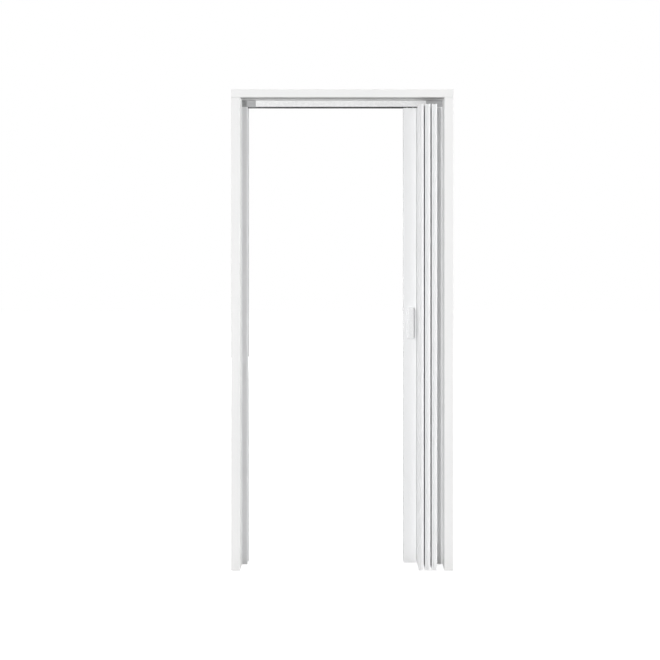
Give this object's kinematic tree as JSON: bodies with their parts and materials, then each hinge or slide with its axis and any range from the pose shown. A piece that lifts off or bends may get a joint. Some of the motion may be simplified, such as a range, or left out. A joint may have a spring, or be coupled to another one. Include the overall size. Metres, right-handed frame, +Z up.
{
  "type": "accordion door",
  "caption": "White folding accordion door stacked to one side of its door frame, hung from a top track with a magnetic lead post.",
  "frame": {"origin": "on the floor, in the middle of the doorway", "axes": "+X along the doorway towards the folded door, +Y away from the viewer, +Z up"},
  "size_m": [0.963, 0.1616, 2.085],
  "materials": {
    "frame_paint": "white satin paint over timber",
    "track_coating": "white gloss powder coat",
    "grey_moulding": "grey moulded plastic, matt",
    "nylon": "natural nylon",
    "channel_vinyl": "white satin vinyl",
    "slat_vinyl": "white satin vinyl",
    "hinge_vinyl": "white flexible vinyl",
    "handle_moulding": "white semi-gloss plastic",
    "magnet_rubber": "black magnetic rubber",
    "keeper_steel": "zinc plated steel",
    "screw_steel": "zinc plated steel"
  },
  "bodies": {
    "frame": {"left_jamb": "frame_paint", "right_jamb": "frame_paint", "head": "frame_paint", "corner_screw_left_front": "screw_steel", "corner_screw_left_back": "screw_steel", "corner_screw_right_front": "screw_steel", "corner_screw_right_back": "screw_steel", "track": "track_coating", "track_end_block": "grey_moulding", "track_stop": "nylon", "wall_end_block": "grey_moulding", "track_screw_1": "screw_steel", "track_screw_2": "screw_steel", "track_screw_3": "screw_steel", "end_block_screw": "screw_steel", "wall_end_block_screw": "screw_steel", "strike_channel": "channel_vinyl", "strike_channel_screw_1": "screw_steel", "strike_channel_screw_2": "screw_steel", "strike_channel_screw_3": "screw_steel", "keeper_strip": "keeper_steel", "wall_channel": "channel_vinyl", "wall_channel_screw_1": "screw_steel", "wall_channel_screw_2": "screw_steel", "wall_channel_screw_3": "screw_steel", "fixed_stile": "channel_vinyl"},
    "wall_slat": {"wall_half_slat": "slat_vinyl"},
    "strip_1": {"hinge_strip_1": "hinge_vinyl"},
    "slat_1": {"slat_1": "slat_vinyl", "glider_1": "nylon"},
    "strip_2": {"hinge_strip_2": "hinge_vinyl"},
    "slat_2": {"slat_2": "slat_vinyl", "glider_2": "nylon"},
    "strip_3": {"hinge_strip_3": "hinge_vinyl"},
    "slat_3": {"slat_3": "slat_vinyl", "glider_3": "nylon"},
    "strip_4": {"hinge_strip_4": "hinge_vinyl"},
    "slat_4": {"slat_4": "slat_vinyl", "glider_4": "nylon"},
    "strip_5": {"hinge_strip_5": "hinge_vinyl"},
    "lead_slat": {"lead_half_slat": "slat_vinyl"},
    "lead": {"lead_post": "slat_vinyl", "lead_top_cap": "slat_vinyl", "lead_bottom_cap": "slat_vinyl", "magnet_strip": "magnet_rubber", "lead_glider_near": "nylon", "lead_glider_far": "nylon", "front_handle": "handle_moulding", "back_handle": "handle_moulding", "handle_screw_lower": "screw_steel", "handle_screw_upper": "screw_steel"}
  },
  "joints": [
    {"name": "wall_slat_hinge", "type": "hinge", "parent": "frame", "child": "wall_slat", "pos_m": [0.4052, 0, 1], "axis": [0, 0, -1], "range_deg": [0, 72.3]},
    {"name": "strip_1_hinge", "type": "hinge", "parent": "wall_slat", "child": "strip_1", "pos_m": [0.40402, -0.07498, 1], "axis": [0, 0, -1], "range_deg": [-72.3, 0]},
    {"name": "slat_1_hinge", "type": "hinge", "parent": "strip_1", "child": "slat_1", "pos_m": [0.39202, -0.07498, 1], "axis": [0, 0, -1], "range_deg": [-72.3, 0]},
    {"name": "strip_2_hinge", "type": "hinge", "parent": "slat_1", "child": "strip_2", "pos_m": [0.38967, 0.07498, 1], "axis": [0, 0, -1], "range_deg": [0, 72.3]},
    {"name": "slat_2_hinge", "type": "hinge", "parent": "strip_2", "child": "slat_2", "pos_m": [0.37767, 0.07498, 1], "axis": [0, 0, -1], "range_deg": [0, 72.3]},
    {"name": "strip_3_hinge", "type": "hinge", "parent": "slat_2", "child": "strip_3", "pos_m": [0.37531, -0.07498, 1], "axis": [0, 0, -1], "range_deg": [-72.3, 0]},
    {"name": "slat_3_hinge", "type": "hinge", "parent": "strip_3", "child": "slat_3", "pos_m": [0.36331, -0.07498, 1], "axis": [0, 0, -1], "range_deg": [-72.3, 0]},
    {"name": "fold", "type": "hinge", "parent": "slat_3", "child": "strip_4", "pos_m": [0.36096, 0.07498, 1], "axis": [0, 0, -1], "range_deg": [0, 72.3]},
    {"name": "slat_4_hinge", "type": "hinge", "parent": "strip_4", "child": "slat_4", "pos_m": [0.34896, 0.07498, 1], "axis": [0, 0, -1], "range_deg": [0, 72.3]},
    {"name": "strip_5_hinge", "type": "hinge", "parent": "slat_4", "child": "strip_5", "pos_m": [0.3466, -0.07498, 1], "axis": [0, 0, -1], "range_deg": [-72.3, 0]},
    {"name": "lead_slat_hinge", "type": "hinge", "parent": "strip_5", "child": "lead_slat", "pos_m": [0.3346, -0.07498, 1], "axis": [0, 0, -1], "range_deg": [-72.3, 0]},
    {"name": "lead_hinge", "type": "hinge", "parent": "lead_slat", "child": "lead", "pos_m": [0.33342, 0, 1], "axis": [0, 0, -1], "range_deg": [0, 72.3]}
  ],
  "couplings": [
    {"joint": "wall_slat_hinge", "follows": "fold", "ratio": 1},
    {"joint": "strip_1_hinge", "follows": "fold", "ratio": -1},
    {"joint": "slat_1_hinge", "follows": "fold", "ratio": -1},
    {"joint": "strip_2_hinge", "follows": "fold", "ratio": 1},
    {"joint": "slat_2_hinge", "follows": "fold", "ratio": 1},
    {"joint": "strip_3_hinge", "follows": "fold", "ratio": -1},
    {"joint": "slat_3_hinge", "follows": "fold", "ratio": -1},
    {"joint": "slat_4_hinge", "follows": "fold", "ratio": 1},
    {"joint": "strip_5_hinge", "follows": "fold", "ratio": -1},
    {"joint": "lead_slat_hinge", "follows": "fold", "ratio": -1},
    {"joint": "lead_hinge", "follows": "fold", "ratio": 1}
  ]
}
